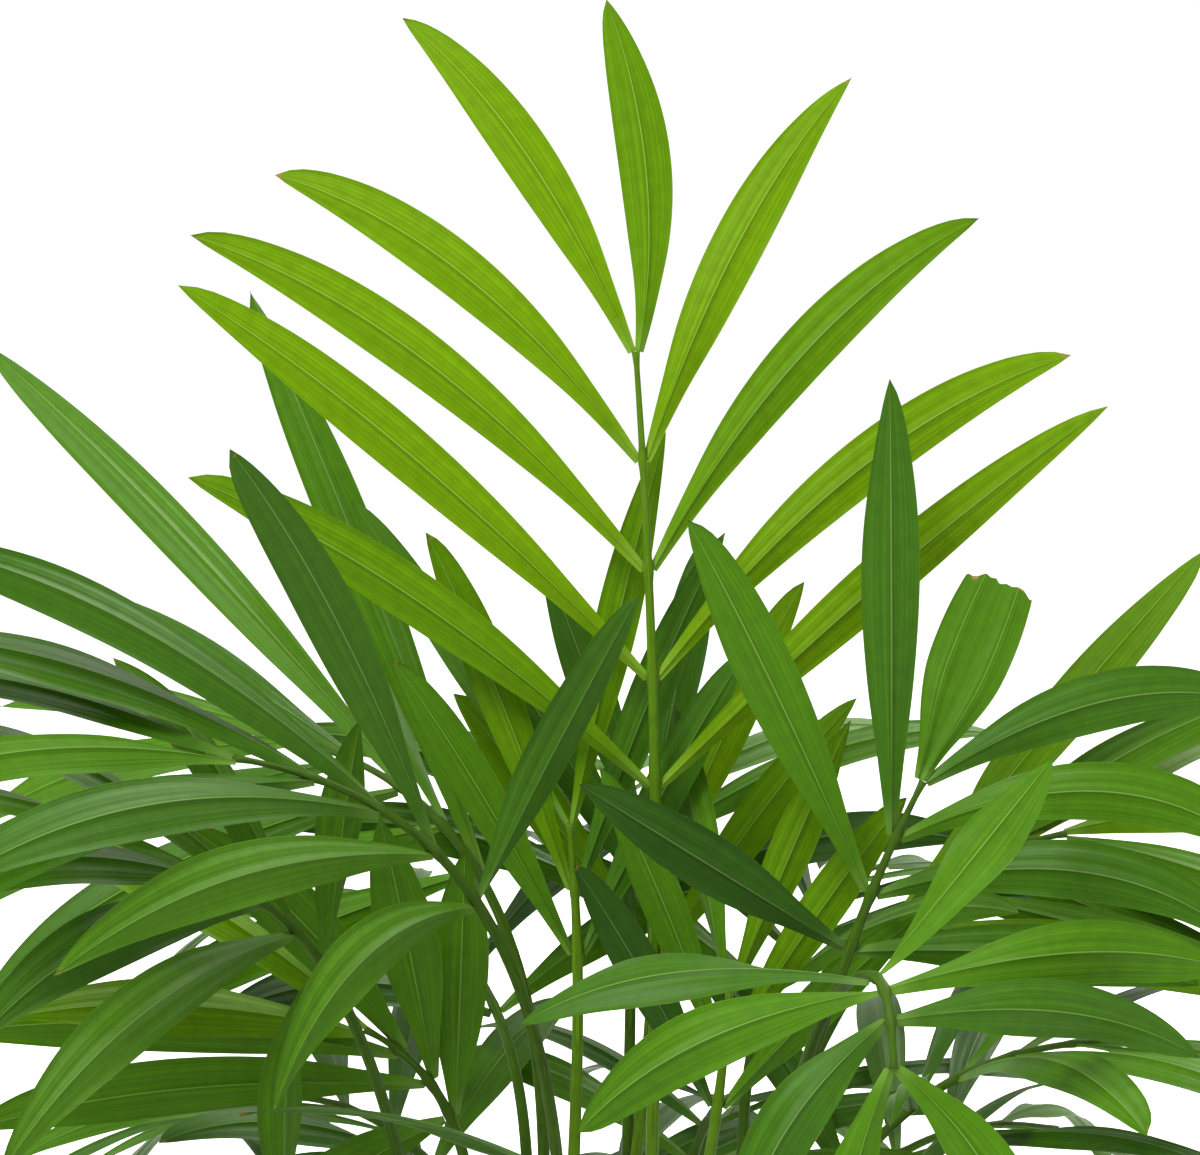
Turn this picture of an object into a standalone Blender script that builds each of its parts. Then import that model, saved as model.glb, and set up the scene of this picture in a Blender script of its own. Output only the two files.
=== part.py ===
"""A potted parlor palm, in metres with +Z up and the origin under the middle of the pot.

A clay pot holds soil, eight short stems stand in it, and each stem carries a few pinnate fronds.
A frond is a round tapering petiole and a thin blade cut into leaflets. The viewer of the photograph
stands at -Y, and the tall frond faces that way.
"""
import math
from collections import namedtuple

import bmesh
import bpy
from mathutils import Quaternion, Vector
from mathutils.bvhtree import BVHTree

# Pot and soil
POT_HEIGHT = 0.130
RIM_RADIUS = 0.078
RIM_BAND = 0.027
BAND_STEP = 0.004
FOOT_RADIUS = 0.052
POT_WALL = 0.005
POT_FLOOR = 0.008
SOFT_EDGE = 0.002
POT_SIDES = 40
DRAIN_HOLES = 4
DRAIN_RADIUS = 0.0045
DRAIN_RING = 0.030
DRAIN_SIDES = 10
SOIL_TOP = 0.116
SEAT_GAP = 0.0003

# Stems
STEM_FOOT_RADIUS = 0.0046
STEM_TOP_RADIUS = 0.0034
STEM_SIDES = 8

# Fronds
PETIOLE_FOOT = 0.0019
PETIOLE_END = 0.0014
PETIOLE_RUNS = 4
BLADE_THICKNESS = 0.0011
RACHIS_WIDTH = (0.0030, 0.0018)
LEAFLET_FOOT = 0.0040
LEAFLET_STEPS = 12
TWIST_STEPS = 8
BLADE_STOPS = ((4, 0.75), (9, 0.90), (12, 0.0))
PETIOLE_GAP = 0.0005
CUT_END = 0.75

# How far a leaflet may turn to keep clear of what grew before it
CLEAR_SIDE = 0.0009
CLEAR_FACE = 0.0016
TUBE_ROOM = 1.25
CLEAR_FOOT = ((0, 0.20), (2, 0.42))
CLEAR_OUTER = ((2, 0.42), (5, 0.88), (9, 0.95), (12, 0.10))
LIFTS = (0, 7, -7, 14, -14, 21, -21, 30, -30, 40, -40)
TURNS = (0, -7, 7, -14, 14)

# Colours, linear
CLAY = (0.48, 0.20, 0.10)
EARTH = (0.035, 0.022, 0.014)
STEM_GREEN = (0.12, 0.24, 0.03)
LEAF_GREEN = (0.06, 0.22, 0.01)

UP = Vector((0, 0, 1))
DOWN = Vector((0, 0, -1))

Stem = namedtuple("Stem", "x y height lean_x lean_y")
Side = namedtuple("Side", "spread length droop fold curl broad twist", defaults=((0,), (1,), (0,)))
Frond = namedtuple("Frond", "name stem seat start tip face pairs left right width")

STEMS = (
    Stem(0.003, 0.004, 0.075, 0.000, 0.001),
    Stem(-0.014, -0.010, 0.064, -0.005, -0.003),
    Stem(0.018, -0.012, 0.066, 0.005, -0.003),
    Stem(-0.020, 0.014, 0.058, -0.006, 0.004),
    Stem(0.022, 0.014, 0.060, 0.006, 0.004),
    Stem(0.000, -0.028, 0.052, 0.000, -0.006),
    Stem(-0.004, 0.030, 0.056, -0.001, 0.006),
    Stem(-0.034, -0.004, 0.050, -0.008, 0.000),
)


def even(spread, length, droop, fold):
    """The same leaflets on both sides of a frond."""
    side = Side(spread, length, droop, fold)
    return side, side


def shown_fronds():
    """The fronds that the photograph shows, each from its lowest leaflets (start) to its end (tip)."""
    yield Frond(
        "top", 0, 0, (0.004, 0.0, 0.344), (-0.001, 0.014, 0.454), (0, -1, 0.1), 5,
        Side((46, 42, 38, 33, 19), (0.142, 0.156, 0.146, 0.122, 0.108), (20, 14, 30, 36, 28), (0,)),
        Side(
            (46, 39, 31, 22, 15), (0.149, 0.136, 0.125, 0.114, 0.092),
            (10, 34, 34, 24, 0), (0,), (0, 0, 0, 0, 30),
        ),
        0.0145,
    )
    yield Frond(
        "left", 1, 0, (-0.040, -0.045, 0.3249), (-0.094, -0.085, 0.3695), (-0.1, -0.6, 0.8), 5,
        Side(
            (46, 34, 27, 18, 12), (0.102, 0.134, 0.138, 0.128, 0.104),
            (60, 30, 35, 40, 40), (20, 0, 0, 0, 0),
        ),
        Side(
            (64, 24, 13, 17, 16), (0.084, 0.114, 0.142, 0.122, 0.106),
            (5, 15, 30, 35, 35), (20, 30, 15, 5, 0),
        ),
        0.0155,
    )
    yield Frond(
        "left_back", 3, 0, (-0.043, 0.030, 0.3145), (-0.093, 0.048, 0.346), (0.1, -0.8, 0.7), 5,
        Side(
            (75, 60, 50, 35, 15), (0.110, 0.125, 0.125, 0.110, 0.095),
            (20, 30, 35, 35, 35), (-10, 0, 0, 0, 0),
        ),
        Side(
            (11, 21, 15, 13, 8), (0.171, 0.115, 0.185, 0.119, 0.098),
            (4, 5, 8, 20, 30), (0, -20, 0, 0, 0),
        ),
        0.0150,
    )
    yield Frond(
        "left_low", 7, 1, (-0.077, -0.050, 0.3100), (-0.100, -0.075, 0.3382), (0, -0.6, 0.8), 4,
        Side((99, 42, 26, 14), (0.062, 0.150, 0.115, 0.090), (110, 30, 35, 40), (-10, 4, -4, 0)),
        Side((45, 32, 24, 14), (0.060, 0.080, 0.094, 0.086), (10, 30, 40, 35), (10, 10, 0, 0)),
        0.0155,
    )
    yield Frond(
        "left_under", 7, 0, (-0.049, 0.000, 0.2558), (-0.070, -0.010, 0.2825), (0.05, -1, 0.35), 4,
        Side((90, 46, 24, 14), (0.060, 0.118, 0.124, 0.104), (20, 20, 20, 20), (0,)),
        Side((24, 24, 28, 20), (0.072, 0.080, 0.092, 0.095), (0, 5, 20, 25), (0, 10, 10, 0)),
        0.0165,
    )
    yield Frond(
        "right", 2, 0, (0.052, -0.030, 0.309), (0.070, -0.026, 0.351), (0.1, -1, 0.4), 4,
        Side(
            (74, 45, 25, 5), (0.081, 0.103, 0.113, 0.053),
            (0, 5, 5, 0), (5, 5, 5, 0), (0,), (1, 1, 1, 1.3),
        ),
        Side((66, 48, 38, 28), (0.085, 0.095, 0.095, 0.090), (20, 60, 70, 50), (10, 20, 15, 10)),
        0.0155,
    )
    yield Frond(
        "right_back", 4, 0, (0.070, 0.030, 0.300), (0.115, 0.040, 0.322), (-0.2, -0.8, 0.7), 5,
        Side((3, 8, 18, 22, 12), (0.130, 0.090, 0.092, 0.098, 0.090), (5, 20, 20, 20, 30), (0,)),
        Side((55, 50, 45, 35, 15), (0.100, 0.115, 0.115, 0.100, 0.090), (20, 30, 35, 35, 30), (0,)),
        0.0150,
    )
    yield Frond(
        "front_right", 2, 1, (0.052, -0.104, 0.323), (0.055, -0.122, 0.307), (0, -1, 0.55), 4,
        Side(
            (112, 97, 96, 50), (0.075, 0.080, 0.072, 0.062), (0, 30, 40, 60), (10, 0, 0, 0),
            twist=(50, 60, 60, 30),
        ),
        Side(
            (104, 90, 55, 25), (0.082, 0.076, 0.062, 0.075), (40, 40, 50, 60), (42, 5, 0, 0),
            twist=(50, 60, 30, 20),
        ),
        0.0155,
    )
    yield Frond(
        "right_low", 4, 1, (0.070, -0.010, 0.262), (0.128, -0.018, 0.282), (0, 0, 1), 5,
        *even(
            (65, 55, 45, 35, 18), (0.100, 0.120, 0.120, 0.105, 0.090),
            (35, 40, 45, 45, 40), (20, 15, 10, 5, 0),
        ),
        0.0150,
    )
    yield Frond(
        "young_left", 1, 1, (-0.016, 0.006, 0.298), (-0.018, 0.009, 0.332), (0, -1, 0.3), 3,
        *even((26, 22, 17), (0.090, 0.100, 0.104), (8, 8, 4), (10, 5, 0)),
        0.0120,
    )
    yield Frond(
        "young_right", 0, 1, (0.020, -0.010, 0.262), (0.023, -0.008, 0.292), (0, -1, 0.3), 3,
        *even((32, 25, 18), (0.075, 0.080, 0.076), (8, 8, 4), (10, 5, 0)),
        0.0120,
    )
    yield Frond(
        "young_back", 6, 0, (0.004, 0.042, 0.286), (0.002, 0.050, 0.320), (0, -1, 0.3), 3,
        *even((32, 25, 18), (0.090, 0.095, 0.084), (10, 10, 5), (10, 5, 0)),
        0.0130,
    )
    yield Frond(
        "front_left", 5, 0, (-0.008, -0.078, 0.262), (-0.020, -0.125, 0.268), (0, 0, 1), 4,
        *even((70, 55, 40, 18), (0.090, 0.105, 0.100, 0.085), (40, 50, 55, 60), (20, 10, 0, 0)),
        0.0145,
    )


# Fronds that arch out round the sides and the back: name, stem, seat, azimuth, reach, height of the
# lowest leaflets, height of the end, and size against a full frond
ARCHING = (
    ("back", 6, 1, 92, 0.105, 0.300, 0.325, 1.0),
    ("back_left", 3, 1, 128, 0.125, 0.270, 0.290, 1.0),
    ("back_right", 4, 2, 55, 0.125, 0.275, 0.298, 1.0),
    ("back_low", 6, 2, 75, 0.120, 0.225, 0.222, 0.85),
    ("back_left_low", 3, 2, 150, 0.128, 0.232, 0.240, 0.95),
    ("back_right_low", 4, 3, 26, 0.130, 0.226, 0.234, 0.95),
    ("front_low", 5, 1, 285, 0.120, 0.228, 0.222, 0.9),
    ("front_left_low", 1, 2, 232, 0.125, 0.226, 0.228, 0.95),
    ("front_right_low", 2, 2, 322, 0.128, 0.236, 0.240, 0.95),
    ("left_lowest", 7, 2, 178, 0.125, 0.205, 0.205, 0.85),
    ("back_lowest", 6, 3, 112, 0.115, 0.205, 0.196, 0.8),
)
ARCH_START = 0.50


def arching_fronds():
    for name, stem, seat, azimuth, reach, low, high, size in ARCHING:
        out = Vector((math.cos(math.radians(azimuth)), math.sin(math.radians(azimuth)), 0))
        start = out * reach * ARCH_START + UP * low
        tip = out * reach + UP * high
        lengths = tuple(size * length for length in (0.095, 0.120, 0.120, 0.108, 0.088))
        sides = even((68, 58, 48, 36, 16), lengths, (40, 45, 50, 50, 45), (25, 18, 12, 6, 0))
        yield Frond(name, stem, seat, tuple(start), tuple(tip), (0, 0, 1), 5, *sides, 0.0145 * size ** 0.5)


def along(values, t):
    """Reads evenly spaced values between 0 and 1."""
    if len(values) == 1:
        return values[0]
    at = min(max(t, 0), 1) * (len(values) - 1)
    low = min(int(at), len(values) - 2)
    return values[low] + (values[low + 1] - values[low]) * (at - low)


def hermite(a, b, leave, reach, t):
    """A point on the curve from a, leaving along leave, to b, reached along reach."""
    return (
        a * (2 * t**3 - 3 * t**2 + 1)
        + leave * (t**3 - 2 * t**2 + t)
        + b * (3 * t**2 - 2 * t**3)
        + reach * (t**3 - t**2)
    )


def stem_point(stem, share):
    rise = Vector((stem.x, stem.y, SOIL_TOP + SEAT_GAP))
    return rise + Vector((stem.lean_x, stem.lean_y, stem.height)) * share


def stem_radius(share):
    return STEM_FOOT_RADIUS + (STEM_TOP_RADIUS - STEM_FOOT_RADIUS) * share


def frond_foot(frond):
    """Where a petiole leaves its stem and in which direction: on its top, or on its side below."""
    stem = STEMS[frond.stem]
    if frond.seat == 0:
        return stem_point(stem, 1) + UP * PETIOLE_GAP, UP.copy()
    share = 1 - 0.18 * frond.seat
    foot = stem_point(stem, share)
    out = Vector(frond.start) - foot
    out.z = 0
    out.normalize()
    lean = Vector((stem.lean_x, stem.lean_y, stem.height)).normalized()
    return foot + out * (stem_radius(share) + PETIOLE_FOOT + SEAT_GAP), (lean + out * 0.12).normalized()


def frond_path(frond):
    """Two functions of 0 to 1: the petiole's centre line and the rachis's."""
    foot, leave = frond_foot(frond)
    start, tip = Vector(frond.start), Vector(frond.tip)
    rise, run = start - foot, tip - start
    knee = (rise.normalized() + run.normalized()).normalized()
    into, out = knee * rise.length, knee * run.length

    def petiole(t):
        return hermite(foot, start, leave * rise.length, into, t)

    def rachis(t):
        return hermite(start, tip, out, run * 2 - out, t)

    return petiole, rachis


def rachis_frame(frond, rachis, t):
    """The rachis's point, direction, side (to its right, seen from above) and upper face there."""
    step = 0.01
    tangent = (rachis(min(t + step, 1)) - rachis(max(t - step, 0))).normalized()
    face = Vector(frond.face)
    face = (face - tangent * face.dot(tangent)).normalized()
    return rachis(t), tangent, tangent.cross(face), face


def leaflet_line(base, ahead, face, length, droop, curl, twist):
    """Points, directions and upper faces down a leaflet.

    It droops, curls sideways in its own plane, and near its foot twists about its own length.
    """
    line = [(base, ahead, face)]
    for i in range(LEAFLET_STEPS):
        bend = math.radians(droop) * (0.4 + 1.2 * (i + 0.5) / LEAFLET_STEPS) / LEAFLET_STEPS
        axis = ahead.cross(DOWN)
        if axis.length > 0.05:
            turn = Quaternion(axis, min(bend, ahead.angle(DOWN) * 0.5))
            ahead, face = turn @ ahead, turn @ face
        ahead = Quaternion(face, math.radians(curl) / LEAFLET_STEPS) @ ahead
        if i < TWIST_STEPS:
            face = Quaternion(ahead, math.radians(twist) / TWIST_STEPS) @ face
        base = base + ahead * (length / LEAFLET_STEPS)
        line.append((base, ahead, face))
    return line


def leaflet(frond, rachis, t, side, sign, lift=0, turn=0):
    """The line of the leaflet at t, on the right (sign 1) or left (sign -1) of its frond."""
    base, tangent, across, face = rachis_frame(frond, rachis, t)
    spread = math.radians(along(side.spread, t) + turn)
    fold = math.radians(along(side.fold, t) + lift)
    across = across * sign
    up = face * math.cos(fold) - across * math.sin(fold)
    out = across * math.cos(fold) + face * math.sin(fold)
    ahead = tangent * math.cos(spread) + out * math.sin(spread)
    half = along(RACHIS_WIDTH, t) / 2
    bends = along(side.droop, t), along(side.curl, t) * sign, -along(side.twist, t) * sign
    return leaflet_line(base + across * half, ahead, up, along(side.length, t), *bends)


def strip_solid(line, width, stops):
    """A closed strip round a leaflet, a little wider and thicker than its blade, for testing contact."""
    corners, faces = [], []
    for index, share in stops:
        point, ahead, face = line[index]
        across = ahead.cross(face) * (width * share / 2 + CLEAR_SIDE)
        thick = face * CLEAR_FACE
        corners += [point - across - thick, point + across - thick]
        corners += [point + across + thick, point - across + thick]
    for i in range(len(stops) - 1):
        a, b = 4 * i, 4 * i + 4
        faces += [(a + j, a + (j + 1) % 4, b + (j + 1) % 4, b + j) for j in range(4)]
    last = len(corners) - 4
    faces += [(3, 2, 1, 0), (last, last + 1, last + 2, last + 3)]
    return corners, faces


def tube_solid(points, radius):
    """A four-sided tube through the points, for testing contact."""
    corners, faces = [], []
    for point in points:
        corners += [point + Vector((x, y, 0)) * radius for x, y in ((-1, 0), (0, -1), (1, 0), (0, 1))]
    for i in range(len(points) - 1):
        a, b = 4 * i, 4 * i + 4
        faces += [(a + j, a + (j + 1) % 4, b + (j + 1) % 4, b + j) for j in range(4)]
    return corners, faces


class Crowd:
    """What has grown so far, so that each new leaflet can keep clear of it."""

    def __init__(self):
        self.members = []

    def add(self, owner, solid):
        corners, faces = solid
        low = [min(c[k] for c in corners) for k in range(3)]
        high = [max(c[k] for c in corners) for k in range(3)]
        self.members.append((owner, low, high, BVHTree.FromPolygons(corners, faces)))

    def hits(self, solid, but):
        corners, faces = solid
        low = [min(c[k] for c in corners) for k in range(3)]
        high = [max(c[k] for c in corners) for k in range(3)]
        tree = None
        found = 0
        for owner, lows, highs, other in self.members:
            if owner == but or any(low[k] > highs[k] or high[k] < lows[k] for k in range(3)):
                continue
            tree = tree or BVHTree.FromPolygons(corners, faces)
            found += len(tree.overlap(other))
        return found


def grow(fronds):
    """Every leaflet of every frond, each turned just far enough to miss what grew before it."""
    crowd = Crowd()
    paths = {}
    for stem in STEMS:
        crowd.add("stem", tube_solid([stem_point(stem, i / 2) for i in range(3)], STEM_FOOT_RADIUS))
    for frond in fronds:
        petiole, rachis = paths[frond.name] = frond_path(frond)
        crowd.add(frond.name, tube_solid([petiole(i / 8) for i in range(9)], PETIOLE_FOOT * TUBE_ROOM))
        crowd.add(frond.name, tube_solid([rachis(i / 6) for i in range(7)], PETIOLE_END * TUBE_ROOM))
    grown = {}
    choices = sorted(
        ((lift, turn) for lift in LIFTS for turn in TURNS), key=lambda c: abs(c[0]) + 1.2 * abs(c[1])
    )
    for frond in fronds:
        petiole, rachis = paths[frond.name]
        own = Crowd()
        own.add(None, tube_solid([petiole(i / 8) for i in range(8)], PETIOLE_FOOT * TUBE_ROOM))
        for pair in range(frond.pairs):
            t = pair / (frond.pairs - 1)
            for sign, side in ((-1, frond.left), (1, frond.right)):
                width = frond.width * along(side.broad, t)
                best = None
                for lift, turn in choices:
                    line = leaflet(frond, rachis, t, side, sign, lift, turn)
                    outer = strip_solid(line, width, CLEAR_OUTER)
                    whole = strip_solid(line, width, CLEAR_FOOT + CLEAR_OUTER[1:])
                    count = crowd.hits(whole, frond.name) + own.hits(outer, "")
                    if best is None or count < best[0]:
                        best = (count, line, outer, whole)
                    if count == 0:
                        break
                grown[frond.name, pair, sign] = best[1]
                own.add(None, best[2])
                crowd.add(frond.name, best[3])
    return paths, grown


def new_material(name, colour, roughness):
    material = bpy.data.materials.new(name)
    material.use_nodes = True
    shader = material.node_tree.nodes["Principled BSDF"]
    shader.inputs["Base Color"].default_value = (*colour, 1)
    shader.inputs["Roughness"].default_value = roughness
    shader.inputs["Metallic"].default_value = 0
    return material


def new_object(name, data, collection, parent=None, material=None):
    thing = bpy.data.objects.new(name, data)
    collection.objects.link(thing)
    thing.parent = parent
    if material:
        data.materials.append(material)
    return thing


def turned(name, profile, sides, collection, parent, material):
    """A solid turned from a profile of (radius, height) that runs down its outer side."""
    mesh = bpy.data.meshes.new(name)
    mesh.from_pydata([(r, 0, z) for r, z in profile], [(i, i + 1) for i in range(len(profile) - 1)], [])
    thing = new_object(name, mesh, collection, parent, material)
    screw = thing.modifiers.new("Turn", "SCREW")
    screw.steps = screw.render_steps = sides
    screw.use_merge_vertices = True
    screw.merge_threshold = 0.00005
    screw.use_smooth_shade = True
    return thing


def outer_radius(z):
    """The plain outer wall of the pot, under the band, at a height."""
    top = RIM_RADIUS - BAND_STEP
    return FOOT_RADIUS + (top - FOOT_RADIUS) * z / POT_HEIGHT


def inner_radius(z):
    return outer_radius(z) - POT_WALL


def make_pot(collection, cutters, parent):
    band = POT_HEIGHT - RIM_BAND
    profile = [
        (0, POT_FLOOR),
        (inner_radius(POT_FLOOR), POT_FLOOR),
        (inner_radius(POT_HEIGHT), POT_HEIGHT - SOFT_EDGE),
        (inner_radius(POT_HEIGHT) + SOFT_EDGE, POT_HEIGHT),
        (RIM_RADIUS - SOFT_EDGE, POT_HEIGHT),
        (RIM_RADIUS, POT_HEIGHT - SOFT_EDGE),
        (RIM_RADIUS - SOFT_EDGE / 2, band),
        (outer_radius(band), band - SOFT_EDGE),
        (outer_radius(SOFT_EDGE), SOFT_EDGE),
        (FOOT_RADIUS - SOFT_EDGE, 0),
        (0, 0),
    ]
    pot = turned("pot", profile, POT_SIDES, collection, parent, new_material("clay", CLAY, 0.85))
    for i in range(DRAIN_HOLES):
        turn = 2 * math.pi * (i + 0.5) / DRAIN_HOLES
        mesh = bpy.data.meshes.new(f"drain_cutter_{i + 1}")
        shape = bmesh.new()
        bmesh.ops.create_cone(
            shape, cap_ends=True, segments=DRAIN_SIDES, radius1=DRAIN_RADIUS, radius2=DRAIN_RADIUS,
            depth=POT_FLOOR * 2,
        )
        shape.to_mesh(mesh)
        shape.free()
        cutter = new_object(mesh.name, mesh, cutters, parent)
        cutter.location = (math.cos(turn) * DRAIN_RING, math.sin(turn) * DRAIN_RING, POT_FLOOR / 2)
        cutter.hide_render = True
        cutter.display_type = "WIRE"
        cut = pot.modifiers.new(f"Drain {i + 1}", "BOOLEAN")
        cut.operation = "DIFFERENCE"
        cut.solver = "EXACT"
        cut.object = cutter


def make_soil(collection, parent):
    low = POT_FLOOR + SEAT_GAP
    profile = [
        (0, SOIL_TOP),
        (inner_radius(SOIL_TOP) - 0.006, SOIL_TOP),
        (inner_radius(SOIL_TOP) - 0.001, SOIL_TOP - 0.002),
        (inner_radius(low) - 0.001, low),
        (0, low),
    ]
    turned("soil", profile, POT_SIDES, collection, parent, new_material("earth", EARTH, 0.95))


def make_stem(number, collection, parent, material):
    """A stem: a cone whose top is shifted by its lean, so that its foot is cut level."""
    stem = STEMS[number]
    mesh = bpy.data.meshes.new(f"stem_{number + 1}")
    shape = bmesh.new()
    bmesh.ops.create_cone(
        shape, cap_ends=True, segments=STEM_SIDES, radius1=STEM_FOOT_RADIUS, radius2=STEM_TOP_RADIUS,
        depth=stem.height,
    )
    for corner in shape.verts:
        share = corner.co.z / stem.height + 0.5
        corner.co.x += stem.lean_x * share
        corner.co.y += stem.lean_y * share
        corner.co.z += stem.height / 2
    shape.to_mesh(mesh)
    shape.free()
    thing = new_object(mesh.name, mesh, collection, parent, material)
    thing.location = (stem.x, stem.y, SOIL_TOP + SEAT_GAP)


def make_petiole(name, petiole, collection, parent, material):
    """A tapering limb from its stem to just short of the blade."""
    curve = bpy.data.curves.new(name, "CURVE")
    curve.dimensions = "3D"
    curve.bevel_depth = PETIOLE_FOOT
    curve.bevel_resolution = 1
    curve.use_fill_caps = True
    foot, end = petiole(0), petiole(1)
    short = 1 - PETIOLE_GAP / (end - foot).length
    spline = curve.splines.new("POLY")
    spline.points.add(PETIOLE_RUNS)
    for i, point in enumerate(spline.points):
        t = i / PETIOLE_RUNS
        point.co = (*(petiole(t * short) - foot), 1)
        point.radius = 1 + (PETIOLE_END / PETIOLE_FOOT - 1) * t
    thing = new_object(name, curve, collection, parent, material)
    thing.location = foot
    return thing


def make_blade(frond, rachis, grown, collection, parent, material):
    """A frond's blade: a strip along the rachis with a leaflet on each side at every pair."""
    base = rachis(0)
    run = (Vector(frond.tip) - Vector(frond.start)).length
    foot = LEAFLET_FOOT / run / 2
    shape = bmesh.new()

    def corner(point):
        return shape.verts.new(point - base)

    def row(t):
        point, tangent, across, face = rachis_frame(frond, rachis, t)
        half = across * along(RACHIS_WIDTH, t) / 2
        return corner(point - half), corner(point + half)

    def strip(pair, sign, near, far):
        """A leaflet from its foot, the edge between near and far. A broad one ends cut off."""
        line = grown[frond.name, pair, sign]
        side = frond.right if sign > 0 else frond.left
        broad = along(side.broad, pair / (frond.pairs - 1))
        last = near, far
        for index, share in BLADE_STOPS:
            point, ahead, face = line[index]
            if share == 0 and broad > 1:
                share = CUT_END
            if share == 0:
                shape.faces.new((*last, corner(point)) if sign > 0 else (last[1], last[0], corner(point)))
                return
            across = ahead.cross(face) * (frond.width * broad * share / 2)
            new = corner(point + across * sign), corner(point - across * sign)
            ring = (last[0], last[1], new[1], new[0])
            shape.faces.new(ring if sign > 0 else ring[::-1])
            last = new

    last = None
    for pair in range(frond.pairs - 1):
        t = max(pair / (frond.pairs - 1), foot)
        low, high = row(t - foot), row(t + foot)
        for a, b in ((last, low), (low, high)):
            if a:
                shape.faces.new((a[0], a[1], b[1], b[0]))
        strip(pair, -1, low[0], high[0])
        strip(pair, 1, low[1], high[1])
        last = high
    left, right = row(1)
    middle = corner(rachis(1))
    shape.faces.new((last[0], last[1], right, middle, left))
    strip(frond.pairs - 1, -1, left, middle)
    strip(frond.pairs - 1, 1, right, middle)
    mesh = bpy.data.meshes.new("frond_" + frond.name)
    bmesh.ops.recalc_face_normals(shape, faces=shape.faces)
    shape.to_mesh(mesh)
    shape.free()
    thing = new_object(mesh.name, mesh, collection, parent, material)
    thing.location = base
    solid = thing.modifiers.new("Thickness", "SOLIDIFY")
    solid.thickness = BLADE_THICKNESS
    solid.offset = 0
    return thing


def main():
    for old in list(bpy.data.objects):
        bpy.data.objects.remove(old)
    parts = bpy.data.collections.new("potted_parlor_palm")
    cutters = bpy.data.collections.new("cutters")
    for collection in (parts, cutters):
        bpy.context.scene.collection.children.link(collection)
    palm = new_object("palm", None, parts)
    make_pot(parts, cutters, palm)
    make_soil(parts, palm)
    stem_green = new_material("stem_green", STEM_GREEN, 0.5)
    leaf_green = new_material("leaf_green", LEAF_GREEN, 0.45)
    for number in range(len(STEMS)):
        make_stem(number, parts, palm, stem_green)
    fronds = [*shown_fronds(), *arching_fronds()]
    paths, grown = grow(fronds)
    for frond in fronds:
        petiole, rachis = paths[frond.name]
        make_petiole("petiole_" + frond.name, petiole, parts, palm, stem_green)
        make_blade(frond, rachis, grown, parts, palm, leaf_green)


main()
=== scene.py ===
"""The looks of a potted parlor palm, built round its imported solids, in metres.

The stems, petioles, fronds, pot and soil of the solid model are each replaced by a detailed mesh.
The tables and the growth rule below are the ones that the solids were made with, so each leaflet
grows where its solid is.
"""
import math
from collections import namedtuple

import bmesh
import bpy
import numpy as np
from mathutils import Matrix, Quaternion, Vector
from mathutils.bvhtree import BVHTree


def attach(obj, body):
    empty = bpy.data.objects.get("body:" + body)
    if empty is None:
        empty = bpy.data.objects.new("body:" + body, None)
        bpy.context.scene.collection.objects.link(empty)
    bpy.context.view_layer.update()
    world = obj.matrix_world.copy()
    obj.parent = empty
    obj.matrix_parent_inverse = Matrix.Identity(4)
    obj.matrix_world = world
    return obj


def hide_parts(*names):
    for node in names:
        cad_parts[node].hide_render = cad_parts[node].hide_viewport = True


# Pot and soil
POT_HEIGHT = 0.130
RIM_RADIUS = 0.078
RIM_BAND = 0.027
BAND_STEP = 0.004
FOOT_RADIUS = 0.052
POT_WALL = 0.005
POT_FLOOR = 0.008
SOFT_EDGE = 0.002
DRAIN_HOLES = 4
DRAIN_RADIUS = 0.0045
DRAIN_RING = 0.030
SOIL_TOP = 0.116
SEAT_GAP = 0.0003

# Stems
STEM_FOOT_RADIUS = 0.0046
STEM_TOP_RADIUS = 0.0034

# Fronds
PETIOLE_FOOT = 0.0019
PETIOLE_END = 0.0014
RACHIS_WIDTH = (0.0030, 0.0018)
LEAFLET_STEPS = 12
TWIST_STEPS = 8
PETIOLE_GAP = 0.0005

# How far a leaflet may turn to keep clear of what grew before it
CLEAR_SIDE = 0.0009
CLEAR_FACE = 0.0016
TUBE_ROOM = 1.25
CLEAR_FOOT = ((0, 0.20), (2, 0.42))
CLEAR_OUTER = ((2, 0.42), (5, 0.88), (9, 0.95), (12, 0.10))
LIFTS = (0, 7, -7, 14, -14, 21, -21, 30, -30, 40, -40)
TURNS = (0, -7, 7, -14, 14)

UP = Vector((0, 0, 1))
DOWN = Vector((0, 0, -1))

Stem = namedtuple("Stem", "x y height lean_x lean_y")
Side = namedtuple("Side", "spread length droop fold curl broad twist", defaults=((0,), (1,), (0,)))
Frond = namedtuple("Frond", "name stem seat start tip face pairs left right width")

STEMS = (
    Stem(0.003, 0.004, 0.075, 0.000, 0.001),
    Stem(-0.014, -0.010, 0.064, -0.005, -0.003),
    Stem(0.018, -0.012, 0.066, 0.005, -0.003),
    Stem(-0.020, 0.014, 0.058, -0.006, 0.004),
    Stem(0.022, 0.014, 0.060, 0.006, 0.004),
    Stem(0.000, -0.028, 0.052, 0.000, -0.006),
    Stem(-0.004, 0.030, 0.056, -0.001, 0.006),
    Stem(-0.034, -0.004, 0.050, -0.008, 0.000),
)


def even(spread, length, droop, fold):
    """The same leaflets on both sides of a frond."""
    side = Side(spread, length, droop, fold)
    return side, side


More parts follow.
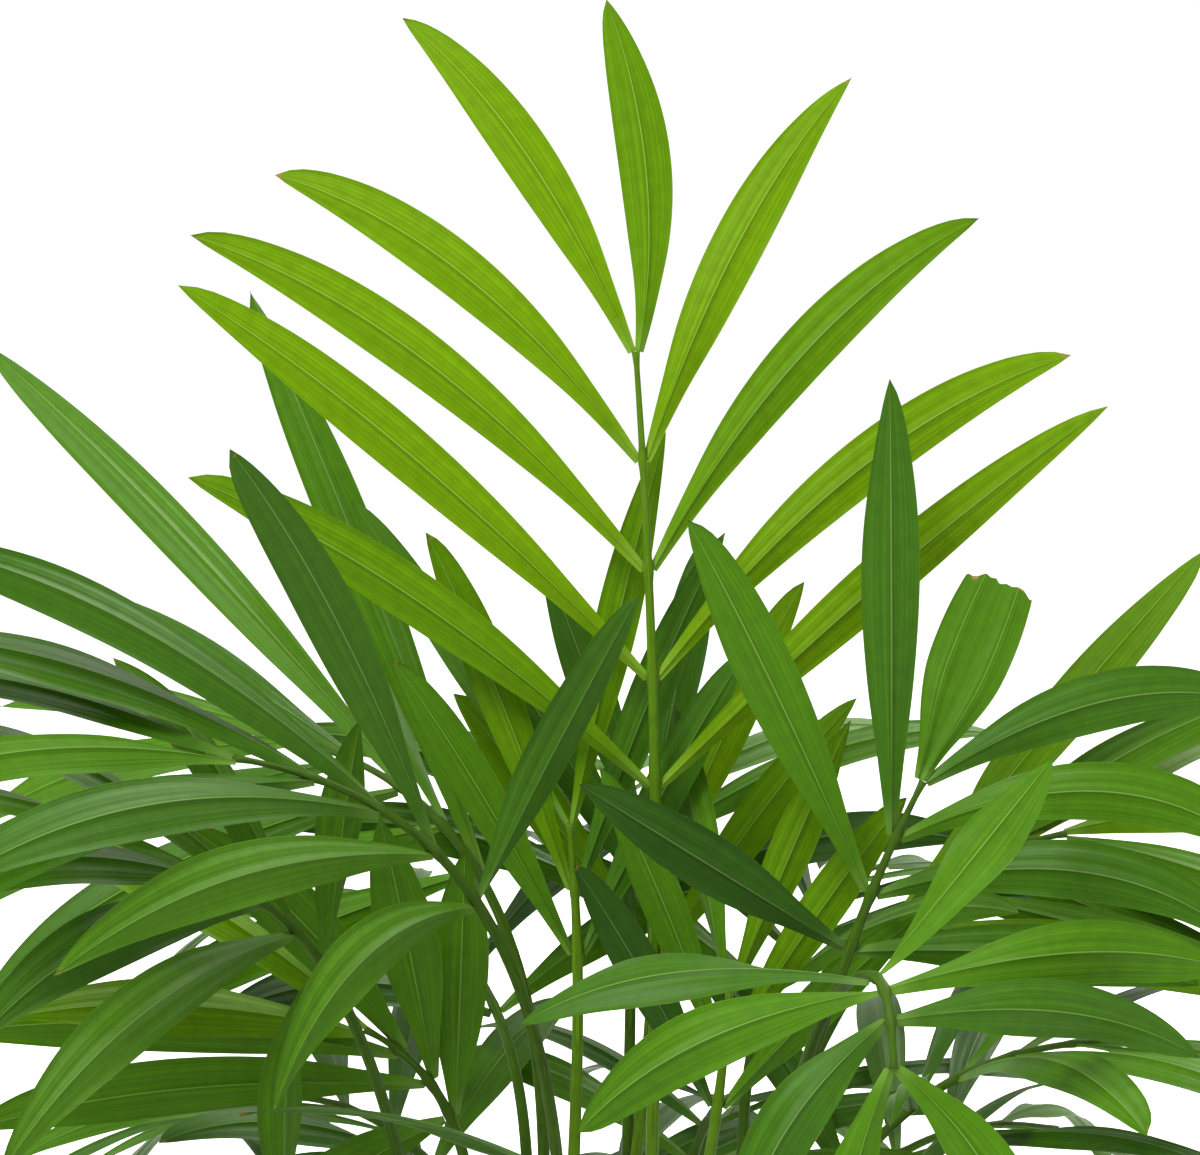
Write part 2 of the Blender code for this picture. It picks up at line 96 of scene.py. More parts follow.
def shown_fronds():
    """The fronds that the photograph shows, each from its lowest leaflets (start) to its end (tip)."""
    yield Frond(
        "top", 0, 0, (0.004, 0.0, 0.344), (-0.001, 0.014, 0.454), (0, -1, 0.1), 5,
        Side((46, 42, 38, 33, 19), (0.142, 0.156, 0.146, 0.122, 0.108), (20, 14, 30, 36, 28), (0,)),
        Side(
            (46, 39, 31, 22, 15), (0.149, 0.136, 0.125, 0.114, 0.092),
            (10, 34, 34, 24, 0), (0,), (0, 0, 0, 0, 30),
        ),
        0.0145,
    )
    yield Frond(
        "left", 1, 0, (-0.040, -0.045, 0.3249), (-0.094, -0.085, 0.3695), (-0.1, -0.6, 0.8), 5,
        Side(
            (46, 34, 27, 18, 12), (0.102, 0.134, 0.138, 0.128, 0.104),
            (60, 30, 35, 40, 40), (20, 0, 0, 0, 0),
        ),
        Side(
            (64, 24, 13, 17, 16), (0.084, 0.114, 0.142, 0.122, 0.106),
            (5, 15, 30, 35, 35), (20, 30, 15, 5, 0),
        ),
        0.0155,
    )
    yield Frond(
        "left_back", 3, 0, (-0.043, 0.030, 0.3145), (-0.093, 0.048, 0.346), (0.1, -0.8, 0.7), 5,
        Side(
            (75, 60, 50, 35, 15), (0.110, 0.125, 0.125, 0.110, 0.095),
            (20, 30, 35, 35, 35), (-10, 0, 0, 0, 0),
        ),
        Side(
            (11, 21, 15, 13, 8), (0.171, 0.115, 0.185, 0.119, 0.098),
            (4, 5, 8, 20, 30), (0, -20, 0, 0, 0),
        ),
        0.0150,
    )
    yield Frond(
        "left_low", 7, 1, (-0.077, -0.050, 0.3100), (-0.100, -0.075, 0.3382), (0, -0.6, 0.8), 4,
        Side((99, 42, 26, 14), (0.062, 0.150, 0.115, 0.090), (110, 30, 35, 40), (-10, 4, -4, 0)),
        Side((45, 32, 24, 14), (0.060, 0.080, 0.094, 0.086), (10, 30, 40, 35), (10, 10, 0, 0)),
        0.0155,
    )
    yield Frond(
        "left_under", 7, 0, (-0.049, 0.000, 0.2558), (-0.070, -0.010, 0.2825), (0.05, -1, 0.35), 4,
        Side((90, 46, 24, 14), (0.060, 0.118, 0.124, 0.104), (20, 20, 20, 20), (0,)),
        Side((24, 24, 28, 20), (0.072, 0.080, 0.092, 0.095), (0, 5, 20, 25), (0, 10, 10, 0)),
        0.0165,
    )
    yield Frond(
        "right", 2, 0, (0.052, -0.030, 0.309), (0.070, -0.026, 0.351), (0.1, -1, 0.4), 4,
        Side(
            (74, 45, 25, 5), (0.081, 0.103, 0.113, 0.053),
            (0, 5, 5, 0), (5, 5, 5, 0), (0,), (1, 1, 1, 1.3),
        ),
        Side((66, 48, 38, 28), (0.085, 0.095, 0.095, 0.090), (20, 60, 70, 50), (10, 20, 15, 10)),
        0.0155,
    )
    yield Frond(
        "right_back", 4, 0, (0.070, 0.030, 0.300), (0.115, 0.040, 0.322), (-0.2, -0.8, 0.7), 5,
        Side((3, 8, 18, 22, 12), (0.130, 0.090, 0.092, 0.098, 0.090), (5, 20, 20, 20, 30), (0,)),
        Side((55, 50, 45, 35, 15), (0.100, 0.115, 0.115, 0.100, 0.090), (20, 30, 35, 35, 30), (0,)),
        0.0150,
    )
    yield Frond(
        "front_right", 2, 1, (0.052, -0.104, 0.323), (0.055, -0.122, 0.307), (0, -1, 0.55), 4,
        Side(
            (112, 97, 96, 50), (0.075, 0.080, 0.072, 0.062), (0, 30, 40, 60), (10, 0, 0, 0),
            twist=(50, 60, 60, 30),
        ),
        Side(
            (104, 90, 55, 25), (0.082, 0.076, 0.062, 0.075), (40, 40, 50, 60), (42, 5, 0, 0),
            twist=(50, 60, 30, 20),
        ),
        0.0155,
    )
    yield Frond(
        "right_low", 4, 1, (0.070, -0.010, 0.262), (0.128, -0.018, 0.282), (0, 0, 1), 5,
        *even(
            (65, 55, 45, 35, 18), (0.100, 0.120, 0.120, 0.105, 0.090),
            (35, 40, 45, 45, 40), (20, 15, 10, 5, 0),
        ),
        0.0150,
    )
    yield Frond(
        "young_left", 1, 1, (-0.016, 0.006, 0.298), (-0.018, 0.009, 0.332), (0, -1, 0.3), 3,
        *even((26, 22, 17), (0.090, 0.100, 0.104), (8, 8, 4), (10, 5, 0)),
        0.0120,
    )
    yield Frond(
        "young_right", 0, 1, (0.020, -0.010, 0.262), (0.023, -0.008, 0.292), (0, -1, 0.3), 3,
        *even((32, 25, 18), (0.075, 0.080, 0.076), (8, 8, 4), (10, 5, 0)),
        0.0120,
    )
    yield Frond(
        "young_back", 6, 0, (0.004, 0.042, 0.286), (0.002, 0.050, 0.320), (0, -1, 0.3), 3,
        *even((32, 25, 18), (0.090, 0.095, 0.084), (10, 10, 5), (10, 5, 0)),
        0.0130,
    )
    yield Frond(
        "front_left", 5, 0, (-0.008, -0.078, 0.262), (-0.020, -0.125, 0.268), (0, 0, 1), 4,
        *even((70, 55, 40, 18), (0.090, 0.105, 0.100, 0.085), (40, 50, 55, 60), (20, 10, 0, 0)),
        0.0145,
    )


# Fronds that arch out round the sides and the back: name, stem, seat, azimuth, reach, height of the
# lowest leaflets, height of the end, and size against a full frond
ARCHING = (
    ("back", 6, 1, 92, 0.105, 0.300, 0.325, 1.0),
    ("back_left", 3, 1, 128, 0.125, 0.270, 0.290, 1.0),
    ("back_right", 4, 2, 55, 0.125, 0.275, 0.298, 1.0),
    ("back_low", 6, 2, 75, 0.120, 0.225, 0.222, 0.85),
    ("back_left_low", 3, 2, 150, 0.128, 0.232, 0.240, 0.95),
    ("back_right_low", 4, 3, 26, 0.130, 0.226, 0.234, 0.95),
    ("front_low", 5, 1, 285, 0.120, 0.228, 0.222, 0.9),
    ("front_left_low", 1, 2, 232, 0.125, 0.226, 0.228, 0.95),
    ("front_right_low", 2, 2, 322, 0.128, 0.236, 0.240, 0.95),
    ("left_lowest", 7, 2, 178, 0.125, 0.205, 0.205, 0.85),
    ("back_lowest", 6, 3, 112, 0.115, 0.205, 0.196, 0.8),
)
ARCH_START = 0.50


def arching_fronds():
    for name, stem, seat, azimuth, reach, low, high, size in ARCHING:
        out = Vector((math.cos(math.radians(azimuth)), math.sin(math.radians(azimuth)), 0))
        start = out * reach * ARCH_START + UP * low
        tip = out * reach + UP * high
        lengths = tuple(size * length for length in (0.095, 0.120, 0.120, 0.108, 0.088))
        sides = even((68, 58, 48, 36, 16), lengths, (40, 45, 50, 50, 45), (25, 18, 12, 6, 0))
        yield Frond(name, stem, seat, tuple(start), tuple(tip), (0, 0, 1), 5, *sides, 0.0145 * size ** 0.5)


def along(values, t):
    """Reads evenly spaced values between 0 and 1."""
    if len(values) == 1:
        return values[0]
    at = min(max(t, 0), 1) * (len(values) - 1)
    low = min(int(at), len(values) - 2)
    return values[low] + (values[low + 1] - values[low]) * (at - low)


def hermite(a, b, leave, reach, t):
    """A point on the curve from a, leaving along leave, to b, reached along reach."""
    return (
        a * (2 * t**3 - 3 * t**2 + 1)
        + leave * (t**3 - 2 * t**2 + t)
        + b * (3 * t**2 - 2 * t**3)
        + reach * (t**3 - t**2)
    )


def stem_point(stem, share):
    rise = Vector((stem.x, stem.y, SOIL_TOP + SEAT_GAP))
    return rise + Vector((stem.lean_x, stem.lean_y, stem.height)) * share


def stem_radius(share):
    return STEM_FOOT_RADIUS + (STEM_TOP_RADIUS - STEM_FOOT_RADIUS) * share


def frond_foot(frond):
    """Where a petiole leaves its stem and in which direction: on its top, or on its side below."""
    stem = STEMS[frond.stem]
    if frond.seat == 0:
        return stem_point(stem, 1) + UP * PETIOLE_GAP, UP.copy()
    share = 1 - 0.18 * frond.seat
    foot = stem_point(stem, share)
    out = Vector(frond.start) - foot
    out.z = 0
    out.normalize()
    lean = Vector((stem.lean_x, stem.lean_y, stem.height)).normalized()
    return foot + out * (stem_radius(share) + PETIOLE_FOOT + SEAT_GAP), (lean + out * 0.12).normalized()


def frond_path(frond):
    """Two functions of 0 to 1: the petiole's centre line and the rachis's."""
    foot, leave = frond_foot(frond)
    start, tip = Vector(frond.start), Vector(frond.tip)
    rise, run = start - foot, tip - start
    knee = (rise.normalized() + run.normalized()).normalized()
    into, out = knee * rise.length, knee * run.length

    def petiole(t):
        return hermite(foot, start, leave * rise.length, into, t)

    def rachis(t):
        return hermite(start, tip, out, run * 2 - out, t)

    return petiole, rachis


def rachis_frame(frond, rachis, t):
    """The rachis's point, direction, side (to its right, seen from above) and upper face there."""
    step = 0.01
    tangent = (rachis(min(t + step, 1)) - rachis(max(t - step, 0))).normalized()
    face = Vector(frond.face)
    face = (face - tangent * face.dot(tangent)).normalized()
    return rachis(t), tangent, tangent.cross(face), face


def leaflet_line(base, ahead, face, length, droop, curl, twist):
    """Points, directions and upper faces down a leaflet.

    It droops, curls sideways in its own plane, and near its foot twists about its own length.
    """
    line = [(base, ahead, face)]
    for i in range(LEAFLET_STEPS):
        bend = math.radians(droop) * (0.4 + 1.2 * (i + 0.5) / LEAFLET_STEPS) / LEAFLET_STEPS
        axis = ahead.cross(DOWN)
        if axis.length > 0.05:
            turn = Quaternion(axis, min(bend, ahead.angle(DOWN) * 0.5))
            ahead, face = turn @ ahead, turn @ face
        ahead = Quaternion(face, math.radians(curl) / LEAFLET_STEPS) @ ahead
        if i < TWIST_STEPS:
            face = Quaternion(ahead, math.radians(twist) / TWIST_STEPS) @ face
        base = base + ahead * (length / LEAFLET_STEPS)
        line.append((base, ahead, face))
    return line


def leaflet(frond, rachis, t, side, sign, lift=0, turn=0):
    """The line of the leaflet at t, on the right (sign 1) or left (sign -1) of its frond."""
    base, tangent, across, face = rachis_frame(frond, rachis, t)
    spread = math.radians(along(side.spread, t) + turn)
    fold = math.radians(along(side.fold, t) + lift)
    across = across * sign
    up = face * math.cos(fold) - across * math.sin(fold)
    out = across * math.cos(fold) + face * math.sin(fold)
    ahead = tangent * math.cos(spread) + out * math.sin(spread)
    half = along(RACHIS_WIDTH, t) / 2
    bends = along(side.droop, t), along(side.curl, t) * sign, -along(side.twist, t) * sign
    return leaflet_line(base + across * half, ahead, up, along(side.length, t), *bends)


def strip_solid(line, width, stops):
    """A closed strip round a leaflet, a little wider and thicker than its blade, for testing contact."""
    corners, faces = [], []
    for index, share in stops:
        point, ahead, face = line[index]
        across = ahead.cross(face) * (width * share / 2 + CLEAR_SIDE)
        thick = face * CLEAR_FACE
        corners += [point - across - thick, point + across - thick]
        corners += [point + across + thick, point - across + thick]
    for i in range(len(stops) - 1):
        a, b = 4 * i, 4 * i + 4
        faces += [(a + j, a + (j + 1) % 4, b + (j + 1) % 4, b + j) for j in range(4)]
    last = len(corners) - 4
    faces += [(3, 2, 1, 0), (last, last + 1, last + 2, last + 3)]
    return corners, faces


def tube_solid(points, radius):
    """A four-sided tube through the points, for testing contact."""
    corners, faces = [], []
    for point in points:
        corners += [point + Vector((x, y, 0)) * radius for x, y in ((-1, 0), (0, -1), (1, 0), (0, 1))]
    for i in range(len(points) - 1):
        a, b = 4 * i, 4 * i + 4
        faces += [(a + j, a + (j + 1) % 4, b + (j + 1) % 4, b + j) for j in range(4)]
    return corners, faces


class Crowd:
    """What has grown so far, so that each new leaflet can keep clear of it."""

    def __init__(self):
        self.members = []

    def add(self, owner, solid):
        corners, faces = solid
        low = [min(c[k] for c in corners) for k in range(3)]
        high = [max(c[k] for c in corners) for k in range(3)]
        self.members.append((owner, low, high, BVHTree.FromPolygons(corners, faces)))

    def hits(self, solid, but):
        corners, faces = solid
        low = [min(c[k] for c in corners) for k in range(3)]
        high = [max(c[k] for c in corners) for k in range(3)]
        tree = None
        found = 0
        for owner, lows, highs, other in self.members:
            if owner == but or any(low[k] > highs[k] or high[k] < lows[k] for k in range(3)):
                continue
            tree = tree or BVHTree.FromPolygons(corners, faces)
            found += len(tree.overlap(other))
        return found


def grow(fronds):
    """Every leaflet of every frond, each turned just far enough to miss what grew before it."""
    crowd = Crowd()
    paths = {}
    for stem in STEMS:
        crowd.add("stem", tube_solid([stem_point(stem, i / 2) for i in range(3)], STEM_FOOT_RADIUS))
    for frond in fronds:
        petiole, rachis = paths[frond.name] = frond_path(frond)
        crowd.add(frond.name, tube_solid([petiole(i / 8) for i in range(9)], PETIOLE_FOOT * TUBE_ROOM))
        crowd.add(frond.name, tube_solid([rachis(i / 6) for i in range(7)], PETIOLE_END * TUBE_ROOM))
    grown = {}
    choices = sorted(
        ((lift, turn) for lift in LIFTS for turn in TURNS), key=lambda c: abs(c[0]) + 1.2 * abs(c[1])
    )
    for frond in fronds:
        petiole, rachis = paths[frond.name]
        own = Crowd()
        own.add(None, tube_solid([petiole(i / 8) for i in range(8)], PETIOLE_FOOT * TUBE_ROOM))
        for pair in range(frond.pairs):
            t = pair / (frond.pairs - 1)
            for sign, side in ((-1, frond.left), (1, frond.right)):
                width = frond.width * along(side.broad, t)
                best = None
                for lift, turn in choices:
                    line = leaflet(frond, rachis, t, side, sign, lift, turn)
                    outer = strip_solid(line, width, CLEAR_OUTER)
                    whole = strip_solid(line, width, CLEAR_FOOT + CLEAR_OUTER[1:])
                    count = crowd.hits(whole, frond.name) + own.hits(outer, "")
                    if best is None or count < best[0]:
                        best = (count, line, outer, whole)
                    if count == 0:
                        break
                grown[frond.name, pair, sign] = best[1]
                own.add(None, best[2])
                crowd.add(frond.name, best[3])
    return paths, grown


def outer_radius(z):
    """The plain outer wall of the pot, under the band, at a height."""
    top = RIM_RADIUS - BAND_STEP
    return FOOT_RADIUS + (top - FOOT_RADIUS) * z / POT_HEIGHT


def inner_radius(z):
    return outer_radius(z) - POT_WALL


# The camera, set by the photograph: its place, how far it looks down and its lens
SENSOR = 0.036
CAMERA_X = -0.0101
CAMERA_DISTANCE = 0.85
CAMERA_AIM = 0.398
CAMERA_PITCH = 9
LENS = 0.1007

# Leaflets
LEAF_ROWS = 36
LEAF_HALF = (0.05, 0.16, 0.32, 0.5, 0.68, 0.82, 0.93, 1)
LEAF_ACROSS = (*(-x for x in reversed(LEAF_HALF)), 0, *LEAF_HALF)
OUTLINE_AT = (0, 1 / 6, 1 / 3, 1 / 2, 2 / 3, 5 / 6, 0.92, 0.97, 1)
BLUNT_OUTER = (0.16, 0.42, 0.74, 0.93, 0.98, 0.84, 0.62, 0.36, 0.0)
BLUNT_INNER = (0.16, 0.42, 0.74, 0.93, 0.92, 0.64, 0.38, 0.18, 0.0)
SLENDER_OUTER = (0.16, 0.46, 0.80, 0.95, 0.90, 0.62, 0.38, 0.17, 0.0)
SLENDER_INNER = (0.16, 0.46, 0.80, 0.94, 0.84, 0.50, 0.27, 0.11, 0.0)
CUT_EDGE = (0.16, 0.40, 0.72, 0.94, 1.00, 0.98, 0.94, 0.91, 0.88)
FOLD_AT_FOOT = 0.55
FOLD_AT_END = 0.10
PLEAT = 0.035
RIDGE = 0.00025
TWIST = 10
WAVE = 0.0005

# Ribs and stems
RIB_SIDES = 12
RIB_END = 0.0007
RIB_STEP = 0.004
JOINT_SWELL = 0.0004
JOINT_REACH = 0.0022
SHEATH_SWELL = 0.0011
SHEATH_REACH = 0.018
SHEATH_DIP = 0.007
STEM_RINGS = 0.0085
STEM_FINE_SIDES = 20

FLOOR_REACH = 12.0
FLOOR_SIDES = 96

# Tones of green, linear, from the top frond's to the shaded ones': partly the leaves' own tone, partly
# painted light, the brighter tones standing in for backlight through the top frond and the deeper and darker
# tones for painted shade on shaded fronds
TONES = {
    "bright": (0.090, 0.184, 0.0006),
    "fresh": (0.068, 0.158, 0.0006),
    "mid": (0.043, 0.126, 0.0006),
    "deep": (0.028, 0.092, 0.0006),
    "dark": (0.016, 0.060, 0.0006),
}
# Which tones each frond's leaflets are dealt: the bright tones are partly painted backlight on the top frond,
# and the deep and dark tones are partly painted shade on the inner, lower and back fronds
TONES_OF = {
    "top": ("bright", "bright", "bright", "fresh"),
    "young_left": ("fresh", "mid", "deep"),
    "young_right": ("fresh", "mid", "dark"),
    "young_back": ("bright", "fresh", "deep"),
    "left": ("mid", "deep", "deep"),
    "left_back": ("mid", "deep", "mid"),
    "left_low": ("mid", "deep"),
    "left_under": ("mid", "fresh", "deep"),
    "right": ("deep", "mid", "dark"),
    "right_back": ("mid", "fresh"),
    "front_right": ("deep", "deep", "mid"),
    "right_low": ("mid", "deep"),
}
OTHER_TONES = ("mid", "deep", "mid", "dark", "deep")
SHEEN_OF = {"bright": 0.04, "fresh": 0.05, "mid": 0.10, "deep": 0.12, "dark": 0.14}
SEED = 20


def smooth(values):
    """Eases values between 0 and 1."""
    values = np.clip(values, 0, 1)
    return values * values * (3 - 2 * values)


def new_mesh(name, points, faces, smooth_shade=True):
    mesh = bpy.data.meshes.new(name)
    mesh.from_pydata([tuple(p) for p in points], [], [tuple(int(i) for i in f) for f in faces])
    mesh.update()
    mesh.shade_smooth() if smooth_shade else mesh.shade_flat()
    return mesh


def show(mesh, nodes):
    """Puts a mesh in the scene in place of the solids it stands for."""
    piece = bpy.data.objects.new(mesh.name, mesh)
    bpy.context.scene.collection.objects.link(piece)
    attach(piece, "root")
    if nodes:
        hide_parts(*nodes)
    return piece


def write_map(mesh, name, corners):
    """Gives each vertex's place on a flat map, repeated for every face that meets there."""
    layer = mesh.uv_layers.new(name=name)
    index = np.empty(len(mesh.loops), np.int64)
    mesh.loops.foreach_get("vertex_index", index)
    layer.data.foreach_set("uv", np.asarray(corners, float)[index].ravel())


def grid_faces(rows, columns, first, closed=False):
    """Quads over a grid of vertices that starts at index first."""
    i, j = np.meshgrid(np.arange(rows - 1), np.arange(columns if closed else columns - 1), indexing="ij")
    a = first + i * columns + j
    b = first + i * columns + (j + 1) % columns
    return np.stack([a, b, b + columns, a + columns], -1).reshape(-1, 4)


class Material:
    """A node material built up from its shader, with short calls for the nodes it needs."""

    def __init__(self, name, colour, roughness, specular=0.5):
        self.data = bpy.data.materials.new(name)
        self.data.use_nodes = True
        self.tree = self.data.node_tree
        self.shader = self.tree.nodes["Principled BSDF"]
        self.shader.inputs["Base Color"].default_value = (*colour, 1)
        self.shader.inputs["Roughness"].default_value = roughness
        self.shader.inputs["Specular IOR Level"].default_value = specular
        self.data.diffuse_color = (*colour, 1)

    def node(self, kind, **settings):
        made = self.tree.nodes.new(kind)
        for name, value in settings.items():
            setattr(made, name, value)
        return made

    def put(self, socket, value):
        if isinstance(value, bpy.types.NodeSocket):
            self.tree.links.new(value, socket)
        else:
            socket.default_value = value

    def math(self, operation, a, b=0.0, clamp=False):
        made = self.node("ShaderNodeMath", operation=operation, use_clamp=clamp)
        self.put(made.inputs[0], a)
        self.put(made.inputs[1], b)
        return made.outputs[0]

    def between(self, value, low, high, to_low=0.0, to_high=1.0):
        made = self.node("ShaderNodeMapRange", interpolation_type="SMOOTHSTEP")
        for socket, number in zip(made.inputs, (value, low, high, to_low, to_high)):
            self.put(socket, number)
        return made.outputs[0]

    def mix(self, share, a, b, kind="MIX"):
        made = self.node("ShaderNodeMix", data_type="RGBA", blend_type=kind)
        self.put(made.inputs["Factor"], share)
        for socket, colour in ((made.inputs["A"], a), (made.inputs["B"], b)):
            self.put(socket, (*colour, 1) if isinstance(colour, tuple) and len(colour) == 3 else colour)
        return made.outputs["Result"]

    def map(self, name):
        return self.node("ShaderNodeUVMap", uv_map=name).outputs[0]

    def place(self):
        return self.node("ShaderNodeTexCoord").outputs["Object"]

    def parts(self, vector):
        made = self.node("ShaderNodeSeparateXYZ")
        self.put(made.inputs[0], vector)
        return made.outputs

    def stretched(self, vector, scale):
        made = self.node("ShaderNodeMapping")
        self.put(made.inputs["Vector"], vector)
        made.inputs["Scale"].default_value = scale
        return made.outputs[0]

    def noise(self, vector, scale, detail=2.0, rough=0.5):
        made = self.node("ShaderNodeTexNoise")
        self.put(made.inputs["Vector"], vector)
        made.inputs["Scale"].default_value = scale
        made.inputs["Detail"].default_value = detail
        made.inputs["Roughness"].default_value = rough
        return made.outputs["Fac"]

    def bump(self, height, distance, strength=1.0):
        made = self.node("ShaderNodeBump")
        self.put(made.inputs["Height"], height)
        made.inputs["Distance"].default_value = distance
        made.inputs["Strength"].default_value = strength
        self.put(self.shader.inputs["Normal"], made.outputs[0])

    def colour(self, socket):
        self.put(self.shader.inputs["Base Color"], socket)

    def roughness(self, socket):
        self.put(self.shader.inputs["Roughness"], socket)


def scaled(colour, share):
    return tuple(min(1.0, c * share) for c in colour)


def leaf_material(tone):
    """A leaflet: a pale midrib, fainter side veins, fine veins along it, and a little brown at some ends."""
    colour = TONES[tone]
    made = Material("leaf_" + tone, colour, 0.42, SHEEN_OF[tone])
    across, down, _ = made.parts(made.map("leaf"))
    aside = made.math("MULTIPLY", made.math("ABSOLUTE", made.math("SUBTRACT", across, 0.5)), 2.0)
    fine = made.noise(made.stretched(made.map("leaf"), (1.0, 0.018, 1.0)), 46.0, 2.0)
    cloudy = made.noise(made.map("grain"), 26.0, 3.0)
    ground = made.mix(made.between(fine, 0.32, 0.70), scaled(colour, 0.80), scaled(colour, 1.18))
    ground = made.mix(made.between(cloudy, 0.35, 0.75, 0.0, 0.35), ground, scaled(colour, 0.62))
    side_vein = made.between(made.math("ABSOLUTE", made.math("SUBTRACT", aside, 0.5)), 0.0, 0.04, 0.35, 0.0)
    pale = tuple(0.7 * c + 0.3 * p for c, p in zip(scaled(colour, 1.5), (0.34, 0.48, 0.14)))
    ground = made.mix(side_vein, ground, scaled(colour, 0.62))
    ground = made.mix(made.between(aside, 0.06, 0.16, 0.35, 0.0), ground, scaled(colour, 0.62))
    ground = made.mix(made.between(aside, 0.008, 0.036, 0.55, 0.0), ground, pale)
    ground = made.mix(made.between(down, 0.0, 0.10, 0.35, 0.0), ground, pale)
    worn = made.math("MULTIPLY", made.between(down, 0.97, 0.995), made.between(cloudy, 0.54, 0.62))
    edge = made.math("MULTIPLY", made.between(aside, 0.955, 0.99), made.between(cloudy, 0.60, 0.68, 0.0, 0.5))
    ground = made.mix(made.math("MAXIMUM", worn, edge), ground, (0.22, 0.13, 0.035))
    made.colour(ground)
    made.roughness(made.between(fine, 0.2, 0.8, 0.38, 0.52))
    made.bump(fine, 0.00012)
    return made.data


def rib_material(name, colour, roughness, dark):
    made = Material(name, colour, roughness, 0.08)
    streak = made.noise(made.stretched(made.map("rib"), (1.0, 0.05, 1.0)), 18.0, 3.0)
    cloudy = made.noise(made.map("rib"), 3.0, 2.0)
    ground = made.mix(made.between(streak, 0.3, 0.7), scaled(colour, 0.75), scaled(colour, 1.25))
    ground = made.mix(made.between(cloudy, 0.45, 0.75, 0.0, 0.6), ground, dark)
    made.colour(ground)
    made.bump(streak, 0.0002)
    return made.data


def stem_material():
    """Green cane, with the brown scar and paler ring of each fallen leaf."""
    colour = (0.085, 0.150, 0.030)
    made = Material("cane", colour, 0.5, 0.35)
    around, up, _ = made.parts(made.map("rib"))
    ring = made.math("FRACT", up)
    streak = made.noise(made.stretched(made.map("rib"), (1.0, 0.12, 1.0)), 14.0, 3.0)
    ground = made.mix(made.between(streak, 0.3, 0.7), scaled(colour, 0.7), scaled(colour, 1.3))
    ground = made.mix(made.between(ring, 0.0, 0.16, 0.9, 0.0), ground, (0.17, 0.115, 0.055))
    ground = made.mix(made.between(ring, 0.86, 0.98, 0.0, 0.7), ground, (0.23, 0.27, 0.10))
    made.colour(ground)
    made.bump(streak, 0.0003)
    return made.data


def clay_material():
    colour = (0.42, 0.165, 0.075)
    made = Material("fired_clay", colour, 0.85, 0.3)
    place = made.place()
    cloudy = made.noise(place, 14.0, 4.0)
    grain = made.noise(place, 420.0, 3.0, 0.65)
    turning = made.noise(made.stretched(place, (0.02, 0.02, 1.0)), 160.0, 2.0)
    ground = made.mix(made.between(cloudy, 0.35, 0.70), scaled(colour, 0.86), scaled(colour, 1.15))
    ground = made.mix(made.between(grain, 0.55, 0.75, 0.0, 0.5), ground, (0.52, 0.26, 0.15))
    low = made.between(made.parts(place)[2], 0.0, 0.06, 0.45, 0.05)
    chalk = made.math("MULTIPLY", made.between(cloudy, 0.52, 0.68), low)
    ground = made.mix(chalk, ground, (0.62, 0.45, 0.34))
    ground = made.mix(made.between(turning, 0.45, 0.7, 0.0, 0.25), ground, scaled(colour, 0.7))
    made.colour(ground)
    made.roughness(made.between(grain, 0.2, 0.8, 0.78, 0.95))
    height = made.math("ADD", made.math("MULTIPLY", grain, 0.5), turning)
    made.bump(height, 0.0004)
    return made.data


def earth_material(name, colour):
    made = Material(name, colour, 0.95, 0.2)
    place = made.place()
    grain = made.noise(place, 700.0, 4.0, 0.7)
    cloudy = made.noise(place, 60.0, 3.0)
    ground = made.mix(made.between(grain, 0.35, 0.7), scaled(colour, 0.55), scaled(colour, 1.6))
    ground = made.mix(made.between(cloudy, 0.4, 0.7, 0.0, 0.5), ground, scaled(colour, 0.5))
    made.colour(ground)
    made.bump(grain, 0.0008)
    return made.data


def outline(edge, down):
    """The blade's half-width, as a share of its widest, a share down along it."""
    at = np.array(OUTLINE_AT)
    edge = np.array(edge)
    slope = np.gradient(edge, at)
    slope[-1] = (edge[-1] - edge[-2]) / (at[-1] - at[-2])
    i = np.clip(np.searchsorted(at, down, "right") - 1, 0, len(at) - 2)
    span = at[i + 1] - at[i]
    t = (down - at[i]) / span
    return (
        edge[i] * (2 * t**3 - 3 * t**2 + 1)
        + slope[i] * span * (t**3 - 2 * t**2 + t)
        + edge[i + 1] * (3 * t**2 - 2 * t**3)
        + slope[i + 1] * span * (t**3 - t**2)
    ).clip(0)


def blend(a, b, share):
    return tuple(x + (y - x) * share for x, y in zip(a, b))


def unit(vectors):
    return vectors / np.linalg.norm(vectors, axis=-1, keepdims=True)


def fine_line(line, rows):
    """The leaflet's line with more points, each with its direction and upper face."""
    points = np.array([p for p, _, _ in line])
    faces = np.array([f for _, _, f in line])
    steps = len(points) - 1
    slopes = np.gradient(points, axis=0)
    down = np.linspace(0, 1, rows)
    i = np.minimum((down * steps).astype(int), steps - 1)
    t = (down * steps - i)[:, None]
    place = (
        points[i] * (2 * t**3 - 3 * t**2 + 1)
        + slopes[i] * (t**3 - 2 * t**2 + t)
        + points[i + 1] * (3 * t**2 - 2 * t**3)
        + slopes[i + 1] * (t**3 - t**2)
    )
    ahead = unit(np.gradient(place, axis=0))
    face = faces[i] * (1 - t) + faces[i + 1] * t
    face = unit(face - ahead * (face * ahead).sum(1, keepdims=True))
    return down, place, ahead, face


